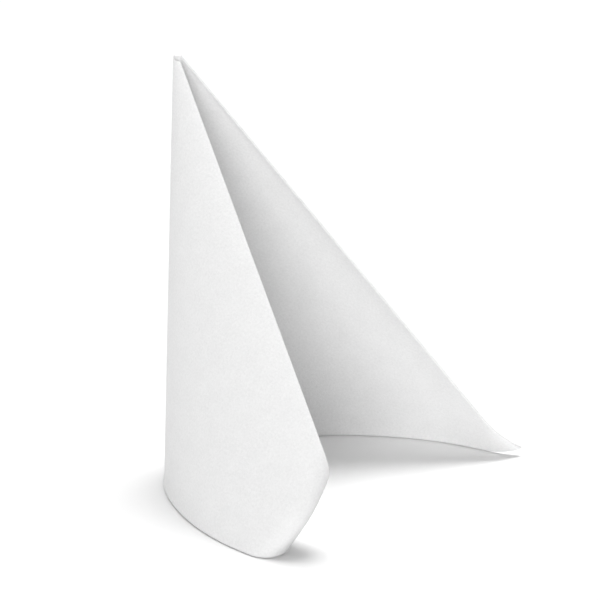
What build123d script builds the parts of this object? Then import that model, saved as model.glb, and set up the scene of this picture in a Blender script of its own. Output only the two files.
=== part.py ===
from build123d import *
import math
import os

import numpy as np

# Paper napkin folded to a standing point, one sheet and one solid.
# Millimetres, +Z up. The soft middle fold, the spine, stands on the Z axis with its foot at the origin,
# and the tent opens towards +X. The left wing starts towards -Y and the right wing towards +Y.

# The sheet: a square napkin folded in half, then turned in along both diagonals
napkin_side = 400.0
ply = 0.5
plies_folded = 2
layer_gap = 0.4
blunt_top = 8.0
blunt_tip = 1.2

# The flaps' free edges inside the tent: their distance from the spine at the top, and at the table
flap_setback = 2.0
flap_spread = 4.0

# The soft middle fold, seen from the point: how far it turns, and how far to each side it reaches
spine_turn = 54.0
spine_reach = 14.0

# How far each wing rolls inwards on its way from the middle fold to its outer fold
left_roll = 80.0
right_roll = 85.0

# The tips are turned, each about a line of the sheet: the width from the tip back to that line, the tilt of
# the line from the spine, the angle turned through, inwards where it is negative, and how early it turns,
# where 1 is evenly
left_curl_width = 51.4
left_curl_tilt = 13.2
left_curl_angle = -180.0
left_curl_ease = 3.0
right_curl_width = 19.0
right_curl_tilt = 0.0
right_curl_angle = 42.0
right_curl_ease = 1.0

# Paper below the table line, cut away so that the base edges stand flat
base_allowance = 2.0

# Sizes that follow from those above
height = napkin_side / 2
thickness = ply * plies_folded
layer_pitch = thickness + layer_gap
fold_radius = layer_pitch / 2
wing_angle = math.pi / 4
fold_angle = wing_angle - math.atan2(fold_radius + thickness / 2, height)
flap_foot_angle = math.atan2(flap_spread, height)
flap_top_angle = math.asin(flap_setback / blunt_top)
apex = np.array([0.0, 0.0, height])

# Fineness: steps of the fan and of a curl, facets around the outer fold, and degree of the curled strips.
# The bend is laid in flat strips that follow the fan, a few degrees from one to the next.
fan_steps = 360
curl_steps = 360
spine_steps = 1
flap_edge_steps = 16
middle_steps = 20
outer_steps = 8
fold_facets = 3
curl_degree = 11


def bend_rate(angle, roll):
    """Turn of the sheet for each radian of the fan: a soft bump at the spine, then a roll that tightens."""
    reach = math.radians(spine_reach)
    bump = 0.0
    if angle < reach:
        bump = math.radians(spine_turn) * math.pi / (4 * reach) * math.cos(math.pi * angle / (2 * reach))
    mean_roll = math.radians(roll) / wing_angle
    return bump + mean_roll * (0.5 + angle / wing_angle)


def mix(start, end, share):
    """Place between two places."""
    return np.array(start, float) * (1 - share) + np.array(end, float) * share


class Wing:
    """One wing of the tent: straight lines that fan out from the point, with the tip turned out or in.

    Flat places are (from_spine, from_top) on the sheet as it lay before it was bent. A line of the fan
    has an angle from the spine, and places on it have a reach from the point.
    """

    def __init__(self, side, roll, curl_width, curl_tilt, curl_angle, curl_ease):
        self.fan = self.make_fan(side, roll)
        self.tilt = math.radians(curl_tilt)
        tip = self.table_reach(wing_angle, height) * math.sqrt(0.5)
        self.curl_start = tip * (math.cos(self.tilt) + math.sin(self.tilt)) - curl_width
        self.curl = self.make_curl(curl_width, math.radians(curl_angle), curl_ease)
        self.corner_angle = self.find_corner()
        # The curled tip's end, where its base line comes within the blunt width of the fold
        corner = self.flat(self.corner_angle, self.curl_line)
        base_slope = (tip - corner[1]) / (tip - corner[0])
        fold_slope = 1 / math.tan(fold_angle)
        base_top = corner[1] - base_slope * corner[0]
        end = (base_top - blunt_tip) / (fold_slope - base_slope)
        self.tip_foot = (end, base_top + base_slope * end)
        self.tip_fold = (end, fold_slope * end)
        self.lay_strips()

    def make_fan(self, side, roll):
        """Line, across and inward vectors of the fan, in equal steps from the spine to the diagonal."""
        step = wing_angle / fan_steps
        line = np.array([0.0, 0.0, -1.0])
        across = np.array([0.0, side, 0.0])
        inward = np.array([1.0, 0.0, 0.0])
        fan = [(line, across, inward)]
        for index in range(fan_steps):
            line, across = (
                line * math.cos(step) + across * math.sin(step),
                across * math.cos(step) - line * math.sin(step),
            )
            bend = bend_rate((index + 0.5) * step, roll) * step
            across, inward = (
                across * math.cos(bend) + inward * math.sin(bend),
                inward * math.cos(bend) - across * math.sin(bend),
            )
            fan.append((line, across, inward))
        return np.array(fan)

    def make_curl(self, width, angle, ease):
        """Distance, turn, and places ahead and to the outside along a curl, in equal steps."""
        step = width / curl_steps
        curl = [(0.0, 0.0, 0.0, 0.0)]
        for index in range(curl_steps):
            _, _, ahead, aside = curl[-1]
            turn = angle * (1 - (1 - (index + 0.5) / curl_steps) ** ease)
            end = angle * (1 - (1 - (index + 1) / curl_steps) ** ease)
            ahead += step * math.cos(turn)
            aside += step * math.sin(turn)
            curl.append(((index + 1) * step, end, ahead, aside))
        return np.array(curl)

    def fan_at(self, angle):
        """The fan's three vectors at an angle from the spine."""
        place = min(max(angle / wing_angle * fan_steps, 0), fan_steps - 1e-9)
        index = int(place)
        return self.fan[index] + (self.fan[index + 1] - self.fan[index]) * (place - index)

    def table_reach(self, angle, drop):
        """Reach at which a line of the fan has come down by a drop from the point."""
        return drop / -self.fan_at(angle)[0][2]

    def base_line(self, angle):
        """Reach of the base, a little below the table."""
        return self.table_reach(angle, height + base_allowance)

    def curl_line(self, angle):
        """Reach of the line where the curl starts."""
        return self.curl_start / math.sin(angle + self.tilt)

    def find_corner(self):
        """Angle at which the base meets the start of the curl, found by stepping towards it."""
        angle = wing_angle
        for _ in range(40):
            angle = math.asin(self.curl_start / self.base_line(angle)) - self.tilt
        return angle

    def flat(self, angle, reach):
        """Flat place on a line of the fan."""
        return (reach(angle) * math.sin(angle), reach(angle) * math.cos(angle))

    def at(self, from_spine, from_top):
        """Point of the sheet, with its vectors across the curl, along the curl's line, and inwards."""
        cosine = math.cos(self.tilt)
        sine = math.sin(self.tilt)
        curled = max(from_spine * cosine + from_top * sine - self.curl_start, 0)
        uncurled = (from_spine - curled * cosine, from_top - curled * sine)
        angle = math.atan2(*uncurled)
        line, across, inward = self.fan_at(angle)
        ahead = line * math.sin(angle + self.tilt) + across * math.cos(angle + self.tilt)
        along = line * math.cos(angle + self.tilt) - across * math.sin(angle + self.tilt)
        turn, forward, aside = [np.interp(curled, self.curl[:, 0], self.curl[:, k]) for k in (1, 2, 3)]
        point = apex + line * math.hypot(*uncurled) + ahead * forward - inward * aside
        turned_ahead = ahead * math.cos(turn) - inward * math.sin(turn)
        turned_inward = inward * math.cos(turn) + ahead * math.sin(turn)
        return point, turned_ahead, along, turned_inward

    def lay_strips(self):
        """Lines of the fan that bound the flat strips, and the strips' inward normals."""
        stops = [0, flap_foot_angle, flap_top_angle, self.corner_angle, fold_angle]
        counts = [spine_steps, flap_edge_steps, middle_steps, outer_steps]
        self.angles = [0.0]
        for first, last, count in zip(stops, stops[1:], counts):
            self.angles += [first + (last - first) * (index + 1) / count for index in range(count)]
        self.flap_line = spine_steps
        self.flap_top_line = spine_steps + flap_edge_steps
        self.corner_line = self.flap_top_line + middle_steps
        self.fold_line = self.corner_line + outer_steps
        self.lines = [unit(self.fan_at(angle)[0]) for angle in self.angles]
        self.normals = []
        for index in range(self.fold_line):
            normal = unit(np.cross(self.lines[index], self.lines[index + 1]))
            facing = np.sign(normal @ self.fan_at(self.angles[index])[2])
            self.normals.append(normal * facing)

    def join(self, other):
        """Offset vectors that keep each strip flat on both skins, with the spine's shared by both wings."""
        self.offsets = [mitre(self.normals[0], other.normals[0])]
        for index in range(1, self.fold_line):
            self.offsets.append(mitre(self.normals[index - 1], self.normals[index]))
        last = self.fan_at(fold_angle)[2]
        self.offsets.append(last / (last @ self.normals[-1]))

    def on_line(self, index, reach, offset):
        """Point on a line of the fan, at its reach and at an offset from the middle of the panel."""
        return apex + self.lines[index] * reach(self.angles[index]) + self.offsets[index] * offset

    def strip_faces(self, first, last, start, end, offset, edges):
        """Both skins of a layer between two lines of the fan, and the cut edges that are named."""
        outer = offset - thickness / 2
        inner = offset + thickness / 2
        faces = []
        for near in range(first, last):
            corners = [
                [self.on_line(line, reach, skin) for line, reach in self.around(near, start, end)]
                for skin in (outer, inner)
            ]
            faces += [polygon(corners[0]), polygon(corners[1])]
            faces.append(quad(corners[0][0], corners[0][1], corners[1][1], corners[1][0]))
            if "foot" in edges:
                faces.append(quad(corners[0][2], corners[0][3], corners[1][3], corners[1][2]))
            if "near" in edges and near == first:
                faces.append(quad(corners[0][0], corners[0][3], corners[1][3], corners[1][0]))
        return faces

    def around(self, near, start, end):
        """Line and reach of a strip's four corners, in order around it."""
        return [(near, start), (near + 1, start), (near + 1, end), (near, end)]

    def curl_point(self, index, along, offset):
        """Point of the curled tip, along from the curl's start, on a strip's bounding line."""
        if along == 0:
            return self.on_line(index, self.curl_line, offset)
        across = (index - self.corner_line) / outer_steps
        start = self.flat(self.angles[index], self.curl_line)
        place = mix(start, mix(self.tip_foot, self.tip_fold, across), along)
        point, _, _, inward = self.at(*place)
        return point + inward * offset

    def curl_faces(self, offset):
        """Both skins of the curled tip, and its cut edges at the base and at the tip."""
        outer = offset - thickness / 2
        inner = offset + thickness / 2

        def edge(line, skin):
            return lambda along: self.curl_point(line, along, skin)

        faces = [ruled(edge(self.corner_line, outer), edge(self.corner_line, inner), curl_degree)]
        for near in range(self.corner_line, self.fold_line):
            for skin in (outer, inner):
                faces.append(ruled(edge(near, skin), edge(near + 1, skin), curl_degree))
            ends = [(near, outer), (near + 1, outer), (near + 1, inner), (near, inner)]
            faces.append(quad(*[self.curl_point(line, 1, skin) for line, skin in ends]))
        return faces

    def fold_section(self, point, outwards, inward):
        """Corners of the turn that joins panel and flap: facets outside, then its narrow inside."""
        centre = point + inward * fold_radius
        turns = [math.pi * facet / fold_facets for facet in range(fold_facets + 1)]
        radius = fold_radius + thickness / 2
        corners = [centre + (outwards * math.sin(t) - inward * math.cos(t)) * radius for t in turns]
        return corners + [centre + inward * (layer_gap / 2), centre - inward * (layer_gap / 2)]

    def straight_fold(self, reach):
        """Section of the outer fold above the curl."""
        across = self.fan_at(fold_angle)[1]
        return self.fold_section(self.on_line(self.fold_line, reach, 0), across, self.offsets[-1])

    def curled_fold(self, along):
        """Section of the outer fold along the curl."""
        if along == 0:
            return self.straight_fold(self.curl_line)
        start = self.flat(fold_angle, self.curl_line)
        point, ahead, side, inward = self.at(*mix(start, self.tip_fold, along))
        outwards = ahead * math.cos(fold_angle + self.tilt) - side * math.sin(fold_angle + self.tilt)
        return self.fold_section(point, outwards, inward)

    def fold_faces(self):
        """The outer fold from top to tip, with a cap at each end."""

        def edge(corner):
            return lambda along: self.curled_fold(along)[corner]

        top = self.straight_fold(top_cut)
        foot = self.straight_fold(self.curl_line)
        faces = [polygon(top), polygon(self.curled_fold(1))]
        for corner in [*range(fold_facets), fold_facets + 1]:
            faces.append(polygon([top[corner], top[corner + 1], foot[corner + 1], foot[corner]]))
            faces.append(ruled(edge(corner), edge(corner + 1), curl_degree))
        return faces

    def faces(self):
        """All outside faces of the wing: panel, flap and curled tip, and the fold that joins the layers."""
        faces = self.strip_faces(0, self.corner_line, top_cut, self.base_line, 0, "foot")
        faces += self.strip_faces(
            self.flap_line, self.flap_top_line, free_edge, self.base_line, layer_pitch, "foot near"
        )
        faces += self.strip_faces(
            self.flap_top_line, self.corner_line, top_cut, self.base_line, layer_pitch, "foot"
        )
        for offset in (0, layer_pitch):
            faces += self.strip_faces(self.corner_line, self.fold_line, top_cut, self.curl_line, offset, "")
            faces += self.curl_faces(offset)
        return faces + self.fold_faces()


def top_cut(angle):
    """Reach of the blunt top."""
    return blunt_top


def free_edge(angle):
    """Reach of the flap's free edge, parallel to the spine."""
    return flap_setback / math.sin(angle)


def unit(vector):
    """Vector of length one."""
    return vector / np.linalg.norm(vector)


def mitre(first, second):
    """Vector that offsets the line between two flat strips by one, away from both."""
    return (first + second) / (1 + first @ second)


def polygon(corners):
    """Flat face."""
    return Face(Wire.make_polygon([Vector(*corner) for corner in corners]))


def quad(first, second, third, fourth):
    """Small face through four corners that may not lie quite flat."""
    return ruled(lambda along: mix(first, second, along), lambda along: mix(fourth, third, along), 1)


def ruled(first, second, degree):
    """Face of straight lines between two curves, each a function of a share along it."""
    net = [[Vector(*point) for point in controls(curve, degree)] for curve in (first, second)]
    return Face.make_bezier_surface(net)


def controls(curve, degree):
    """Control points of a smooth curve through sampled points, which lie closer at its ends."""
    shares = [(1 - math.cos(math.pi * index / degree)) / 2 for index in range(degree + 1)]
    powers = range(degree + 1)
    weights = [
        [math.comb(degree, p) * share**p * (1 - share) ** (degree - p) for p in powers]
        for share in shares
    ]
    return np.linalg.solve(np.array(weights), np.array([curve(share) for share in shares]))


left = Wing(-1, left_roll, left_curl_width, left_curl_tilt, left_curl_angle, left_curl_ease)
right = Wing(1, right_roll, right_curl_width, right_curl_tilt, right_curl_angle, right_curl_ease)
left.join(right)
right.join(left)

with BuildPart() as napkin:
    add(Solid(Shell(left.faces() + right.faces())))
    split(bisect_by=Plane.XY, keep=Keep.TOP)

napkin.part.label = "napkin"
os.makedirs("parts", exist_ok=True)
export_step(napkin.part, "parts/napkin.step")
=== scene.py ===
import math

import bpy
import numpy as np
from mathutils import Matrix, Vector


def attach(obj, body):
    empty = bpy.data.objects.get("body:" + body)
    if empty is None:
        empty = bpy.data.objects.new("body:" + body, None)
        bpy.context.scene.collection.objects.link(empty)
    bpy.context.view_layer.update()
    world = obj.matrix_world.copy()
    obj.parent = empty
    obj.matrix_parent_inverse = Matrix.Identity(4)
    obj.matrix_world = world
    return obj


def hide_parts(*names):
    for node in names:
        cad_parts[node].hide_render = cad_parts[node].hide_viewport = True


bl_info = {
    "name": "Folded Paper Napkin",
    "version": (1, 0, 0),
    "blender": (4, 5, 0),
    "location": "3D View > Sidebar > Napkin",
    "description": "Folds a square airlaid paper napkin to a standing point and sets it on a white stage",
    "category": "Add Mesh",
}

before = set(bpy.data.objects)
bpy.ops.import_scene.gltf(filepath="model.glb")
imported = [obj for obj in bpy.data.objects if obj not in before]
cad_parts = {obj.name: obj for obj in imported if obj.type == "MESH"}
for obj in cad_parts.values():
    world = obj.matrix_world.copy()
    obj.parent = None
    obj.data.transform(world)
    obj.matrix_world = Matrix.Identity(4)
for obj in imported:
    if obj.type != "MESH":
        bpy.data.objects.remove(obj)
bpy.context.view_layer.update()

MM = 0.001
# The outer folds are the diagonals of the sheet, an eighth of a turn from the middle fold
WING_ANGLE = math.pi / 4
# Fineness of the tables that the bent sheet is read from: across a wing, and along a turned tip
FAN_STEPS = 360
TIP_STEPS = 360
# Rounds after which the searches for the tip's base corner and for the base edge have settled
CORNER_ROUNDS = 40
BASE_ROUNDS = 3
# The paper's cut edges turn by more than this, its bends by less
SHARP_ANGLE = math.radians(50)

# Half the side of the floor, in metres
FLOOR_HALF = 6.0
# Large soft lamps, far off: spread, angle around the napkin from +X and angle above the table, in degrees
LAMPS = {
    "front": (30, 290, 5),
    "side": (30, 176, 8),
    "back_left": (50, 135, 20),
    "back_right": (50, 50, 58),
    "top": (30, 95, 75),
}
# Where the camera stands and what it looks at, in metres, and its lens and sensor, in millimetres
CAMERA_PLACE = (0.4347, -0.6985, 0.3099)
CAMERA_AIM = (0.0507, 0.0268, 0.0806)
CAMERA_LENS = 108.35
CAMERA_SENSOR = 36


def linear(code):
    """Linear colour with alpha from an sRGB hex code."""
    parts = [int(code[start : start + 2], 16) / 255 for start in (0, 2, 4)]
    return [part / 12.92 if part <= 0.04045 else ((part + 0.055) / 1.055) ** 2.4 for part in parts] + [1.0]


def length(name, description, millimetres):
    """A size property in metres."""
    return bpy.props.FloatProperty(
        name=name, description=description, default=millimetres * MM, min=0.0, unit="LENGTH", precision=5
    )


def angle(name, description, degrees):
    """An angle property in radians."""
    return bpy.props.FloatProperty(
        name=name, description=description, default=math.radians(degrees), subtype="ANGLE"
    )


def number(name, description, value):
    """A plain number property."""
    return bpy.props.FloatProperty(name=name, description=description, default=value, min=0.0)


def colour(name, description, code):
    """A colour property from an sRGB hex code."""
    return bpy.props.FloatVectorProperty(
        name=name, description=description, default=linear(code), size=4, min=0.0, max=1.0, subtype="COLOR"
    )


class NapkinFold(bpy.types.PropertyGroup):
    """Sizes of the sheet and of its fold."""

    side: length("Side", "Side of the open square napkin", 400)
    ply: length("Ply", "Thickness of one ply of paper", 0.22)
    ply_pitch: length("Ply pitch", "Distance between two plies that lie on each other", 0.25)
    layer_pitch: length("Layer pitch", "Distance from the middle of a panel to the middle of its flap", 0.52)
    blunt_top: length("Blunt top", "Distance of the open top from the fold's true point", 3.9)
    left_top: length("Left top", "How much lower the left wing's open top runs at its outer fold", 4.0)
    right_top: length("Right top", "How much lower the right wing's open top runs at its outer fold", 1.3)
    flap_setback: length("Flap setback", "From the middle fold to a flap's free edge, at the top", 2.0)
    flap_spread: length("Flap spread", "From the middle fold to a flap's free edge, at the table", 4.0)
    base_lift: length("Base lift", "Gap between the lowest base edges and the table", 0.2)
    base_step: length("Base step", "How much shorter the outer plies are at the base than the inner", 0.7)
    base_flare: length("Base flare", "How far the outer plies stand off at the base", 0.35)
    spine_turn: angle("Middle turn", "Turn of the soft middle fold", 54)
    spine_reach: angle("Middle reach", "Reach of the middle fold to each side, seen from the point", 14)
    left_roll: angle("Left roll", "Turn of the left wing from the middle fold to its outer fold", 80)
    right_roll: angle("Right roll", "Turn of the right wing from the middle fold to its outer fold", 85)
    left_tip: length("Left tip", "Width of the left tip that is turned in", 51.4)
    left_tip_tilt: angle("Left tip tilt", "Tilt of the left tip's bend from the middle fold", 13.2)
    left_tip_turn: angle("Left tip turn", "Turn of the left tip, inwards where negative", -180)
    left_tip_ease: number("Left tip ease", "How early the left tip turns, where 1 is evenly", 3)
    left_tip_bow: length("Left tip bow", "How far the left tip's bend bows out towards the tip", 3.2)
    right_tip: length("Right tip", "Width of the right tip that curls outwards", 19)
    right_tip_tilt: angle("Right tip tilt", "Tilt of the right tip's bend from the middle fold", 0)
    right_tip_turn: angle("Right tip turn", "Turn of the right tip, inwards where negative", 42)
    right_tip_ease: number("Right tip ease", "How early the right tip turns, where 1 is evenly", 1)
    right_tip_bow: length("Right tip bow", "How far the right tip's bend bows out towards the tip", 0)


class NapkinPaper(bpy.types.PropertyGroup):
    """Colours and texture sizes of the paper."""

    white: colour("White", "Colour of the paper where the fibres lie dense", "F2F2F2")
    shade: colour("Shade", "Colour of the paper in the small hollows between fibres", "EAEAEA")
    fibre: length("Fibre spacing", "Spacing of the fibre marks", 1.1)
    cloud: length("Cloud size", "Size of the denser and thinner patches", 9.0)


class NapkinStage(bpy.types.PropertyGroup):
    """Floor and light."""

    floor: colour("Floor", "Colour of the floor", "F6F6F6")
    floor_gain: number("Floor gain", "How many times whiter than its paint the camera sees the floor", 1.1)
    front: number("Front lamp", "Strength of the low lamp in front of the napkin", 2.3)
    side: number("Side lamp", "Strength of the low lamp to the left of the napkin", 0.5)
    back_left: number("Back left lamp", "Strength of the low lamp behind the napkin on the left", 0.38)
    back_right: number("Back right lamp", "Strength of the high lamp behind the napkin on the right", 0.2)
    top: number("Top lamp", "Strength of the lamp above the napkin, a little behind it", 2.3)
    ambient: number("Ambient", "Light from all around", 0.16)


class Wing:
    """One wing of the tent: straight lines that fan out from the point, with the tip turned out or in.

    A flat place, on the sheet as it lay before it was bent, is an angle from the middle fold and a reach
    from the point.
    """

    def __init__(self, fold, name, side):
        self.side = side
        self.height = fold.side / 2
        self.apex = np.array([0.0, 0.0, self.height])
        self.top = fold.blunt_top
        self.top_slant = getattr(fold, name + "_top")
        self.fan = self.make_fan(fold, getattr(fold, name + "_roll"))
        width = getattr(fold, name + "_tip")
        turn = getattr(fold, name + "_tip_turn")
        ease = getattr(fold, name + "_tip_ease")
        self.curl = self.make_curl(width, turn, ease)
        self.tilt = getattr(fold, name + "_tip_tilt")
        self.bow = getattr(fold, name + "_tip_bow")
        # The tip's bend is a line of the flat sheet, at this distance from the point
        tip = float(self.table_reach(WING_ANGLE)) * math.sqrt(0.5)
        self.tip = (tip, tip)
        self.bend_start = tip * (math.cos(self.tilt) + math.sin(self.tilt)) - width
        # The corner where the bend meets the table
        corner = WING_ANGLE
        for _ in range(CORNER_ROUNDS):
            corner = math.asin(self.bend_start / self.table_reach(corner)) - self.tilt
        self.corner_angle = corner
        reach = float(self.table_reach(corner))
        self.corner = (reach * math.sin(corner), reach * math.cos(corner))
        # The bend's ends, at the outer fold and at the table, measured along it
        self.bend_top = self.bend_start / math.tan(WING_ANGLE + self.tilt)
        self.bend_foot = self.bend_start / math.tan(corner + self.tilt)

    def make_fan(self, fold, roll):
        """Line, across and inward vectors in equal steps from the middle fold to the outer one."""
        step = WING_ANGLE / FAN_STEPS
        line = np.array([0.0, 0.0, -1.0])
        across = np.array([0.0, self.side, 0.0])
        inward = np.array([1.0, 0.0, 0.0])
        fan = [(line, across, inward)]
        for index in range(FAN_STEPS):
            place = (index + 0.5) * step
            line, across = (
                line * math.cos(step) + across * math.sin(step),
                across * math.cos(step) - line * math.sin(step),
            )
            # The wing rolls more tightly towards its outer fold, and the middle fold adds a soft bump
            bend = roll / WING_ANGLE * (0.5 + place / WING_ANGLE)
            if place < fold.spine_reach:
                bump = math.cos(math.pi * place / (2 * fold.spine_reach))
                bend += fold.spine_turn * math.pi / (4 * fold.spine_reach) * bump
            across, inward = (
                across * math.cos(bend * step) + inward * math.sin(bend * step),
                inward * math.cos(bend * step) - across * math.sin(bend * step),
            )
            fan.append((line, across, inward))
        return np.array(fan)

    def make_curl(self, width, whole_turn, ease):
        """Distance, turn, and places ahead and to the outside along the tip's curl, in equal steps."""
        step = width / TIP_STEPS
        curl = [(0.0, 0.0, 0.0, 0.0)]
        for index in range(TIP_STEPS):
            _, _, ahead, aside = curl[-1]
            turn = whole_turn * (1 - (1 - (index + 0.5) / TIP_STEPS) ** ease)
            end = whole_turn * (1 - (1 - (index + 1) / TIP_STEPS) ** ease)
            ahead += step * math.cos(turn)
            aside += step * math.sin(turn)
            curl.append(((index + 1) * step, end, ahead, aside))
        return np.array(curl)

    def fan_at(self, place):
        """The fan's three vectors at angles from the middle fold."""
        step = np.clip(np.asarray(place) / WING_ANGLE * FAN_STEPS, 0, FAN_STEPS - 1e-9)
        index = step.astype(int)
        part = (step - index)[..., None, None]
        vectors = self.fan[index] * (1 - part) + self.fan[index + 1] * part
        return vectors[..., 0, :], vectors[..., 1, :], vectors[..., 2, :]

    def table_reach(self, place):
        """Distances from the point at which lines of the fan meet the table."""
        return self.height / -self.fan_at(place)[0][..., 2]

    def top_reach(self, place):
        """Flat distances from the point to the open top."""
        return self.top + self.top_slant * place / WING_ANGLE

    def base_reach(self, place):
        """Flat distances from the point to the base edge: the table line, then a straight cut to the tip."""
        slope = (self.tip[1] - self.corner[1]) / (self.tip[0] - self.corner[0])
        cut = (self.corner[1] - slope * self.corner[0]) / (np.cos(place) - slope * np.sin(place))
        return np.where(place <= self.corner_angle, self.table_reach(place), cut)

    def bend_bow(self, along):
        """How far the tip's bend bows out, most in the middle between the outer fold and the table."""
        part = np.clip((along - self.bend_top) / (self.bend_foot - self.bend_top), 0, 1)
        return self.bow * (4 * part * (1 - part)) ** 2

    def at(self, place, reach):
        """Points of the sheet, with their vectors out over the outer fold and inwards."""
        bend = self.bend_start + self.bend_bow(reach * np.cos(place + self.tilt))
        curled = np.maximum(reach * np.sin(place + self.tilt) - bend, 0)
        # Where the line across the bend leaves the fan, and its directions there
        from_spine = reach * np.sin(place) - curled * math.cos(self.tilt)
        from_top = reach * np.cos(place) - curled * math.sin(self.tilt)
        start = np.arctan2(from_spine, from_top)
        line, across, inward = self.fan_at(start)
        sine = np.sin(start + self.tilt)[:, None]
        cosine = np.cos(start + self.tilt)[:, None]
        ahead = line * sine + across * cosine
        along = line * cosine - across * sine
        turn, forward, aside = (
            np.interp(curled, self.curl[:, 0], column)[:, None] for column in self.curl[:, 1:].T
        )
        point = self.apex + line * np.hypot(from_spine, from_top)[:, None] + ahead * forward - inward * aside
        turned_ahead = ahead * np.cos(turn) - inward * np.sin(turn)
        turned_inward = inward * np.cos(turn) + ahead * np.sin(turn)
        slant = WING_ANGLE + self.tilt
        return point, turned_ahead * math.cos(slant) - along * math.sin(slant), turned_inward


class Ply:
    """The path of the sheet through one wing, from the outer ply's middle fold to the inner ply's.

    A station on the path has an angle from the middle fold, an offset inwards, an offset out over the fold,
    and whether it is in the outer ply and in a panel.
    """

    panel_steps = 56
    flap_steps = 48
    turn_steps = 6
    edge_steps = 4
    # Share of the way down at which the outer plies start to stand off
    flare_start = 0.97

    def __init__(self, fold, wing):
        self.fold = fold
        self.wing = wing
        self.outer = -fold.ply_pitch / 2
        self.inner = fold.ply_pitch / 2
        self.flap_inner = fold.layer_pitch - fold.ply_pitch / 2
        self.flap_outer = fold.layer_pitch + fold.ply_pitch / 2
        widest = (self.flap_outer - self.outer) / 2
        self.fold_angle = WING_ANGLE - math.atan2(widest, wing.height)

    def stations(self, share):
        """Stations of a row of the sheet, closer together towards the outer fold."""
        last = self.fold_angle
        free = self.free_angle(share)
        out = np.linspace(0, 1, self.panel_steps + 1)
        panel = last * out * (1.5 - 0.5 * out)
        back = np.linspace(0, 1, self.flap_steps + 1)
        flap = last + (free - last) * back * (0.5 + 0.5 * back)
        path = [(place, self.outer, 0.0, True, True) for place in panel]
        path += self.turn(last, self.outer, self.flap_outer, 1, self.turn_steps, True)
        path += [(place, self.flap_outer, 0.0, True, False) for place in flap]
        path += self.turn(free, self.flap_outer, self.flap_inner, -1, self.edge_steps, True)
        path += [(place, self.flap_inner, 0.0, False, False) for place in flap[::-1]]
        path += self.turn(last, self.flap_inner, self.inner, 1, self.turn_steps, False)
        path += [(place, self.inner, 0.0, False, True) for place in panel[::-1]]
        return np.array(path, dtype=float).T

    def turn(self, place, start, end, facing, steps, outer):
        """Stations around a fold, from one offset to another."""
        middle = (start + end) / 2
        radius = abs(end - start) / 2
        swings = [math.pi * step / steps for step in range(1, steps)]
        offsets = [middle + (start - middle) * math.cos(swing) for swing in swings]
        outwards = [facing * radius * math.sin(swing) for swing in swings]
        return [(place, offset, out, outer, False) for offset, out in zip(offsets, outwards)]

    def free_angle(self, share):
        """Angle of the flap's free edge from the middle fold, at a share of the way down."""
        reach = self.fold.blunt_top + (self.wing.height - self.fold.blunt_top) * share
        setback = self.fold.flap_setback + (self.fold.flap_spread - self.fold.flap_setback) * share
        return math.asin(setback / reach)

    def row(self, share):
        """Points of the row at a share of the way down, and their places on the open square."""
        place, offset, outwards, outer, panel = self.stations(share)
        middle = self.fold.layer_pitch / 2
        flare = max(share - self.flare_start, 0) / (1 - self.flare_start)
        spread = 1 + outer * flare**2 * self.fold.base_flare / (self.flap_outer - middle)
        offset = middle + (offset - middle) * spread
        outwards = outwards * spread
        start = self.wing.top_reach(place)
        end = self.base_end(place, offset, outwards, self.fold.base_lift + self.fold.base_step * outer)
        reach = start + (end - start) * share
        from_spine = reach * np.sin(place)
        from_top = reach * np.cos(place)
        along = np.where(panel, from_spine, from_top) * self.wing.side
        down = np.where(panel, from_top, from_spine) * np.where(outer, 1, -1)
        return self.points_at(place, reach, offset, outwards), np.stack([along, down], axis=1)

    def points_at(self, place, reach, offset, outwards):
        """Points of a ply at flat places, offset inwards and out over the fold."""
        point, outward, inward = self.wing.at(place, reach)
        return point + inward * offset[:, None] + outward * outwards[:, None]

    def base_end(self, place, offset, outwards, lift):
        """Flat reaches of a ply's base edge, shortened where the ply would come too near the table."""
        end = self.wing.base_reach(place) - lift
        for _ in range(BASE_ROUNDS):
            sunk = lift - self.points_at(place, end, offset, outwards)[:, 2]
            end = end - np.maximum(sunk, 0) * self.wing.table_reach(place) / self.wing.height
        return end


def add_node(tree, kind, settings=None, inputs=None):
    """Adds a shader node, sets its options, and links or sets its inputs."""
    node = tree.nodes.new(kind)
    for name, value in (settings or {}).items():
        setattr(node, name, value)
    for name, value in (inputs or {}).items():
        if isinstance(value, bpy.types.NodeSocket):
            tree.links.new(value, node.inputs[name])
        else:
            node.inputs[name].default_value = value
    return node


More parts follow.
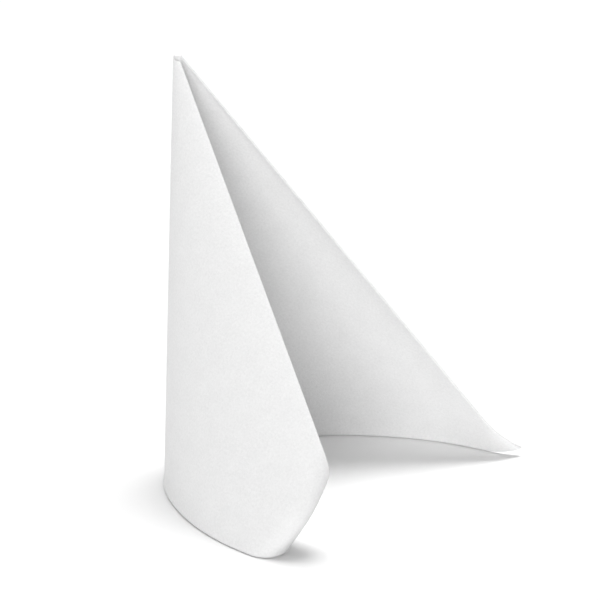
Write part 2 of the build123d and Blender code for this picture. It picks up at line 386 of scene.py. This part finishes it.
def airlaid_paper(paper):
    """Airlaid paper: short wood fibres laid dry and bonded, with no print and no embossing.

    It looks like thin felt: matte and soft white, faintly clouded, with a fine random grain of fibres.
    """
    material = bpy.data.materials.new("airlaid_paper")
    material.use_nodes = True
    tree = material.node_tree
    shader = tree.nodes["Principled BSDF"]
    # The place on the open square, in metres, so that the grain runs with the paper round each fold
    place = add_node(tree, "ShaderNodeTexCoord").outputs["UV"]
    # Fibres are some 0.03 mm thick, too fine to show, so their marks are drawn about a millimetre apart
    fibres = add_node(
        tree,
        "ShaderNodeTexNoise",
        {"noise_dimensions": "2D"},
        {"Vector": place, "Scale": 1 / paper.fibre, "Detail": 3.0, "Roughness": 0.65, "Distortion": 0.6},
    )
    clouds = add_node(
        tree,
        "ShaderNodeTexNoise",
        {"noise_dimensions": "2D"},
        {"Vector": place, "Scale": 1 / paper.cloud, "Detail": 2.0, "Roughness": 0.5},
    )
    # The clouds are fainter than the fibre marks
    blend = add_node(
        tree,
        "ShaderNodeMath",
        {"operation": "MULTIPLY_ADD"},
        {0: clouds.outputs["Fac"], 1: 0.25, 2: fibres.outputs["Fac"]},
    )
    tone = add_node(
        tree,
        "ShaderNodeMapRange",
        {},
        {"Value": blend.outputs["Value"], "From Min": 0.42, "From Max": 0.82},
    )
    tint = add_node(
        tree,
        "ShaderNodeMix",
        {"data_type": "RGBA"},
        {"Factor": tone.outputs["Result"], "A": paper.shade, "B": paper.white},
    )
    bump = add_node(
        tree,
        "ShaderNodeBump",
        {},
        {"Height": fibres.outputs["Fac"], "Strength": 0.35, "Distance": 0.2 * MM},
    )
    tree.links.new(tint.outputs["Result"], shader.inputs["Base Color"])
    tree.links.new(bump.outputs["Normal"], shader.inputs["Normal"])
    # Cellulose, with hardly any sheen because loose fibres stand up from the surface
    shader.inputs["Roughness"].default_value = 0.95
    shader.inputs["IOR"].default_value = 1.47
    shader.inputs["Specular IOR Level"].default_value = 0.2
    return material


def seen(tree):
    """One for rays that the camera sees directly, in gloss or through glass, and zero for others."""
    path = add_node(tree, "ShaderNodeLightPath")
    direct = add_node(
        tree,
        "ShaderNodeMath",
        {"operation": "MAXIMUM"},
        {0: path.outputs["Is Camera Ray"], 1: path.outputs["Is Glossy Ray"]},
    )
    every = add_node(
        tree,
        "ShaderNodeMath",
        {"operation": "MAXIMUM"},
        {0: direct.outputs["Value"], 1: path.outputs["Is Transmission Ray"]},
    )
    return every.outputs["Value"]


def painted_floor(stage):
    """Painted studio floor: matte white, seen as full white by the camera, with the shadow kept."""
    material = bpy.data.materials.new("painted_studio_floor")
    material.use_nodes = True
    tree = material.node_tree
    tree.nodes.remove(tree.nodes["Principled BSDF"])
    gain = add_node(
        tree,
        "ShaderNodeMath",
        {"operation": "MULTIPLY_ADD"},
        {0: seen(tree), 1: stage.floor_gain - 1, 2: 1.0},
    )
    tint = add_node(
        tree,
        "ShaderNodeVectorMath",
        {"operation": "SCALE"},
        {"Vector": stage.floor[:3], "Scale": gain.outputs["Value"]},
    )
    paint = add_node(tree, "ShaderNodeBsdfDiffuse", {}, {"Color": tint.outputs["Vector"]})
    tree.links.new(paint.outputs["BSDF"], tree.nodes["Material Output"].inputs["Surface"])
    return material


def white_room(stage):
    """White surroundings of the studio: white to the camera, and a weak light from all around."""
    world = bpy.data.worlds.new("studio")
    world.use_nodes = True
    tree = world.node_tree
    background = tree.nodes["Background"]
    background.inputs["Color"].default_value = (1, 1, 1, 1)
    strength = add_node(
        tree,
        "ShaderNodeMath",
        {"operation": "ADD", "use_clamp": True},
        {0: seen(tree), 1: stage.ambient},
    )
    tree.links.new(strength.outputs["Value"], background.inputs["Strength"])
    return world


class NAPKIN_OT_fold_sheet(bpy.types.Operator):
    """Fold the square sheet to a standing point"""

    bl_idname = "napkin.fold_sheet"
    bl_label = "Fold Sheet"

    row_steps = 72
    # More rows near the base, where the plies part
    base_shares = (0.97, 0.98, 0.988, 0.994, 0.9975)

    def execute(self, context):
        fold = context.scene.napkin_fold
        sheet = bpy.data.objects.new("napkin_sheet", self.sheet_mesh(fold))
        context.scene.collection.objects.link(sheet)
        thick = sheet.modifiers.new("Ply", "SOLIDIFY")
        thick.thickness = fold.ply
        thick.offset = 0.0
        thick.use_even_offset = True
        context.view_layer.objects.active = sheet
        bpy.ops.object.modifier_apply(modifier=thick.name)
        sheet.data.shade_smooth()
        sheet.data.set_sharp_from_angle(angle=SHARP_ANGLE)
        sheet.data.materials.append(airlaid_paper(context.scene.napkin_paper))
        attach(sheet, "root")
        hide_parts("napkin")
        return {"FINISHED"}

    def sheet_mesh(self, fold):
        """The middle of the paper as a net of rows that run round the tent, from the point to the base."""
        left = Ply(fold, Wing(fold, "left", -1))
        right = Ply(fold, Wing(fold, "right", 1))
        # Rows lie closer together towards the point
        shares = np.linspace(0, 1, self.row_steps + 1)
        shares = np.union1d(shares * (0.3 + 0.7 * shares), self.base_shares)
        points = []
        places = []
        for share in shares:
            # The right wing from its outer ply to its inner one, then the left wing back
            right_points, right_places = right.row(share)
            left_points, left_places = left.row(share)
            points += [right_points, left_points[-2:0:-1]]
            places += [right_places, left_places[-2:0:-1]]
        points = np.concatenate(points)
        places = np.concatenate(places)
        if points[:, 2].min() < 0:
            raise RuntimeError("The folded sheet reaches below the table")
        around = len(points) // len(shares)
        faces = []
        for row in range(len(shares) - 1):
            for step in range(around):
                near = row * around + step
                far = row * around + (step + 1) % around
                faces.append((near, far, far + around, near + around))
        mesh = bpy.data.meshes.new("napkin_sheet")
        mesh.from_pydata(points.tolist(), [], faces)
        layer = mesh.uv_layers.new(name="open_sheet")
        for loop in mesh.loops:
            layer.data[loop.index].uv = places[loop.vertex_index]
        return mesh


class NAPKIN_OT_set_stage(bpy.types.Operator):
    """Set the white floor, the soft light and the camera"""

    bl_idname = "napkin.set_stage"
    bl_label = "Set Stage"

    def execute(self, context):
        stage = context.scene.napkin_stage
        self.lay_floor(context, stage)
        for name in LAMPS:
            self.hang_lamp(context, name, getattr(stage, name))
        context.scene.world = white_room(stage)
        self.place_camera(context)
        context.scene.view_settings.view_transform = "Standard"
        return {"FINISHED"}

    def lay_floor(self, context, stage):
        """A wide plain floor at the height of the table."""
        half = FLOOR_HALF
        corners = [(-half, -half, 0), (half, -half, 0), (half, half, 0), (-half, half, 0)]
        mesh = bpy.data.meshes.new("floor")
        mesh.from_pydata(corners, [], [(0, 1, 2, 3)])
        mesh.materials.append(painted_floor(stage))
        floor = bpy.data.objects.new("floor", mesh)
        context.scene.collection.objects.link(floor)

    def hang_lamp(self, context, name, strength):
        """A large soft lamp, far off, that shines on the napkin."""
        spread, around, above = map(math.radians, LAMPS[name])
        level = math.cos(above)
        towards = (math.cos(around) * level, math.sin(around) * level, math.sin(above))
        light = bpy.data.lights.new(name, "SUN")
        light.energy = strength
        light.angle = spread
        lamp = bpy.data.objects.new(name, light)
        lamp.rotation_euler = Vector(towards).to_track_quat("Z", "Y").to_euler()
        context.scene.collection.objects.link(lamp)

    def place_camera(self, context):
        """A long lens a little above the napkin, in front of it."""
        lens = bpy.data.cameras.new("camera")
        lens.lens = CAMERA_LENS
        lens.sensor_width = CAMERA_SENSOR
        camera = bpy.data.objects.new("camera", lens)
        camera.location = CAMERA_PLACE
        aim = Vector(CAMERA_AIM) - camera.location
        camera.rotation_euler = aim.to_track_quat("-Z", "Y").to_euler()
        context.scene.collection.objects.link(camera)
        context.scene.camera = camera


class NAPKIN_PT_panel(bpy.types.Panel):
    """Sizes, colours and steps of the napkin"""

    bl_idname = "NAPKIN_PT_panel"
    bl_label = "Folded Napkin"
    bl_space_type = "VIEW_3D"
    bl_region_type = "UI"
    bl_category = "Napkin"

    def draw(self, context):
        for group in (context.scene.napkin_fold, context.scene.napkin_paper, context.scene.napkin_stage):
            box = self.layout.box()
            for name in group.__annotations__:
                box.prop(group, name)
        self.layout.operator("napkin.fold_sheet")
        self.layout.operator("napkin.set_stage")


CLASSES = (NapkinFold, NapkinPaper, NapkinStage, NAPKIN_OT_fold_sheet, NAPKIN_OT_set_stage, NAPKIN_PT_panel)


def register():
    for item in CLASSES:
        bpy.utils.register_class(item)
    bpy.types.Scene.napkin_fold = bpy.props.PointerProperty(type=NapkinFold)
    bpy.types.Scene.napkin_paper = bpy.props.PointerProperty(type=NapkinPaper)
    bpy.types.Scene.napkin_stage = bpy.props.PointerProperty(type=NapkinStage)


def unregister():
    del bpy.types.Scene.napkin_stage
    del bpy.types.Scene.napkin_paper
    del bpy.types.Scene.napkin_fold
    for item in reversed(CLASSES):
        bpy.utils.unregister_class(item)


def main():
    register()
    bpy.ops.napkin.fold_sheet()
    bpy.ops.napkin.set_stage()


if __name__ == "__main__":
    main()
